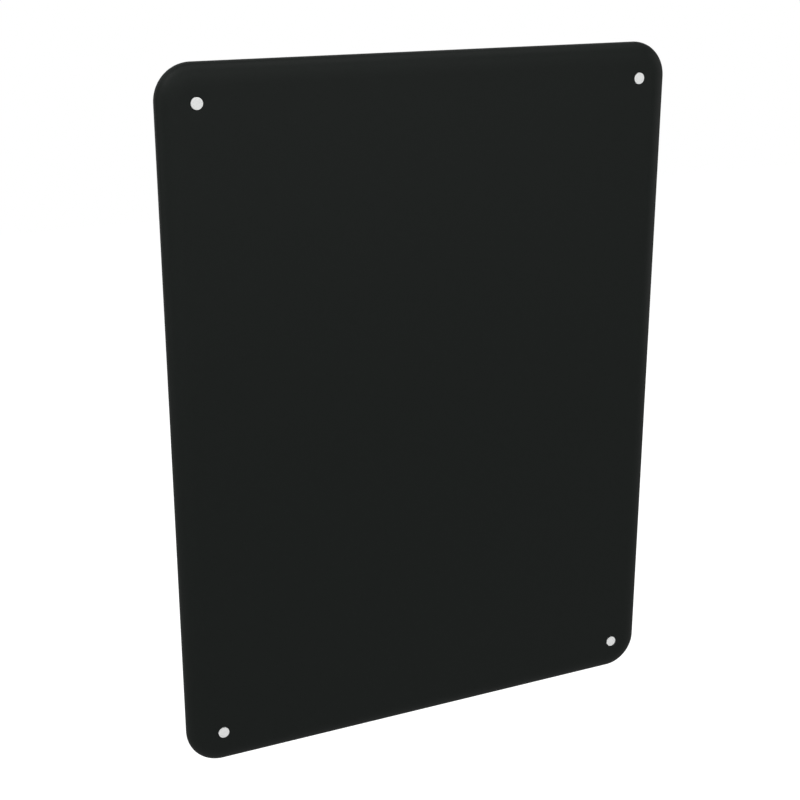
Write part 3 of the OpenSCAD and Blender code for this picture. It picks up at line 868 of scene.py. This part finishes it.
# Camera, from a fit to the photograph's four edges and four discs
FRAME_PX = 800
FOCAL_PX = 1483.6
SENSOR_MM = 36
CAMERA_AZIMUTH, CAMERA_ELEVATION = math.radians(-25.088), math.radians(18.56)
CAMERA_DISTANCE = 2.1118
AIM = Vector((-0.0487, FRONT_Y, 0.0177))
camera_data = bpy.data.cameras.new("camera")
camera_data.sensor_width = SENSOR_MM
camera_data.lens = SENSOR_MM * FOCAL_PX / FRAME_PX
camera = bpy.data.objects.new("camera", camera_data)
back = Vector((math.sin(CAMERA_AZIMUTH) * math.cos(CAMERA_ELEVATION),
               -math.cos(CAMERA_AZIMUTH) * math.cos(CAMERA_ELEVATION), math.sin(CAMERA_ELEVATION)))
camera.location = AIM + back * CAMERA_DISTANCE
camera.rotation_mode = "QUATERNION"
camera.rotation_quaternion = (-back).to_track_quat("-Z", "Y")
bpy.context.scene.collection.objects.link(camera)
bpy.context.scene.camera = camera


def seen_as(tree, seen_shader, plain_shader, out):
    """Shows one shader to the camera, mirrors and glass, and another to everything else."""
    path = tree.nodes.new("ShaderNodeLightPath")
    mirrored = maths(tree, "MAXIMUM", path.outputs["Is Glossy Ray"], path.outputs["Is Transmission Ray"])
    mix = tree.nodes.new("ShaderNodeMixShader")
    tree.links.new(maths(tree, "MAXIMUM", path.outputs["Is Camera Ray"], mirrored), mix.inputs[0])
    tree.links.new(plain_shader, mix.inputs[1])
    tree.links.new(seen_shader, mix.inputs[2])
    tree.links.new(mix.outputs[0], out)


# World: white behind the panel, and an even fill
FILL = 0.10
world = bpy.data.worlds.new("studio")
world.use_nodes = True
bpy.context.scene.world = world
tree = world.node_tree
tree.nodes.clear()
output = tree.nodes.new("ShaderNodeOutputWorld")
white, fill = (tree.nodes.new("ShaderNodeBackground") for _ in range(2))
for sky, strength in ((white, 1), (fill, FILL)):
    sky.inputs["Color"].default_value = (1, 1, 1, 1)
    sky.inputs["Strength"].default_value = strength
seen_as(tree, white.outputs[0], fill.outputs[0], output.inputs["Surface"])

# Floor: pale and plain, well below the panel, which hangs by its fixings. The camera and the cloth's gloss
# see it about white, as a glow with a little shading, and it lights the panel as a grey surface.
FLOOR_Z = -1.4
FLOOR_SIZE = 16.0
FLOOR_GLOW, FLOOR_SHADING, FLOOR_GREY, FLOOR_ROUGHNESS = 0.97, 0.2, 0.8, 0.9
half = FLOOR_SIZE / 2
floor_mesh = bpy.data.meshes.new("floor")
floor_mesh.from_pydata([(-half, -half, FLOOR_Z), (half, -half, FLOOR_Z), (half, half, FLOOR_Z),
                        (-half, half, FLOOR_Z)], [], [(0, 1, 2, 3)])
floor = bpy.data.objects.new("floor", floor_mesh)
bpy.context.scene.collection.objects.link(floor)
floor_material, tree, shader = new_material("pale floor")
shader.inputs["Base Color"].default_value = (FLOOR_GREY, FLOOR_GREY, FLOOR_GREY, 1)
shader.inputs["Roughness"].default_value = FLOOR_ROUGHNESS
glow = tree.nodes.new("ShaderNodeEmission")
glow.inputs["Strength"].default_value = FLOOR_GLOW
shaded = tree.nodes.new("ShaderNodeBsdfDiffuse")
shaded.inputs["Color"].default_value = (FLOOR_SHADING, FLOOR_SHADING, FLOOR_SHADING, 1)
both = tree.nodes.new("ShaderNodeAddShader")
tree.links.new(shaded.outputs[0], both.inputs[0])
tree.links.new(glow.outputs[0], both.inputs[1])
seen_as(tree, both.outputs[0], shader.outputs[0], tree.nodes["Material Output"].inputs["Surface"])
floor_mesh.materials.append(floor_material)


def softbox(name, place, aim, size, brightness, mirrored=True):
    """A rectangular lamp that looks at a point, as bright as a white card lit to that level. One that isn't
    mirrored lights surfaces, but metal doesn't show it."""
    data = bpy.data.lights.new(name, "AREA")
    data.shape = "RECTANGLE"
    data.size, data.size_y = size
    data.energy = brightness * math.pi * size[0] * size[1]
    lamp = bpy.data.objects.new(name, data)
    lamp.location = place
    lamp.rotation_mode = "QUATERNION"
    lamp.rotation_quaternion = (Vector(aim) - Vector(place)).to_track_quat("-Z", "Y")
    lamp.visible_glossy = mirrored
    bpy.context.scene.collection.objects.link(lamp)


softbox("low key softbox", place=(0.85, -4.2, 0.55), aim=(0.85, 0, 0.55), size=(4.9, 2.7),
        brightness=1.17)
softbox("high key softbox", place=(0.85, -4.2, 3.65), aim=(0.85, 0, 3.65), size=(4.9, 3.5),
        brightness=1.7)
softbox("low left softbox", place=(-4.15, -4.2, 0.5), aim=(-4.15, 0, 0.5), size=(5.1, 3.4),
        brightness=0.79)
softbox("high left softbox", place=(-4.15, -4.2, 4.0), aim=(-4.15, 0, 4.0), size=(5.1, 3.6),
        brightness=1.75)
softbox("upper left softbox", place=(-4.5, -1.3, 5.0), aim=(-0.33, 0, 0.45), size=(3.4, 3.4),
        brightness=3.4)
softbox("top softbox", place=(0, -1.3, 6.0), aim=(0, 0, 0), size=(7.8, 4.7),
        brightness=2.1)
softbox("left softbox", place=(-5.0, -0.6, 0.8), aim=(0, 0, 0), size=(4.0, 4.0),
        brightness=1.0)
softbox("rear left softbox", place=(-3.6, 1.2, 4.2), aim=(-0.2, 0, 0.3), size=(3.4, 3.4),
        brightness=1.4)
softbox("right softbox", place=(5.0, -1.2, 0.4), aim=(0, 0, 0), size=(4.0, 4.0),
        brightness=1.1)
softbox("rear softbox", place=(0.6, 4.2, 2.4), aim=(0.6, 0, 2.4), size=(11.0, 7.0),
        brightness=0.5)
softbox("rear fill softbox", place=(0.6, 4.3, 2.4), aim=(0.6, 0, 2.4), size=(11.0, 7.0),
        brightness=0.7, mirrored=False)

bpy.context.scene.view_settings.view_transform = "Standard"
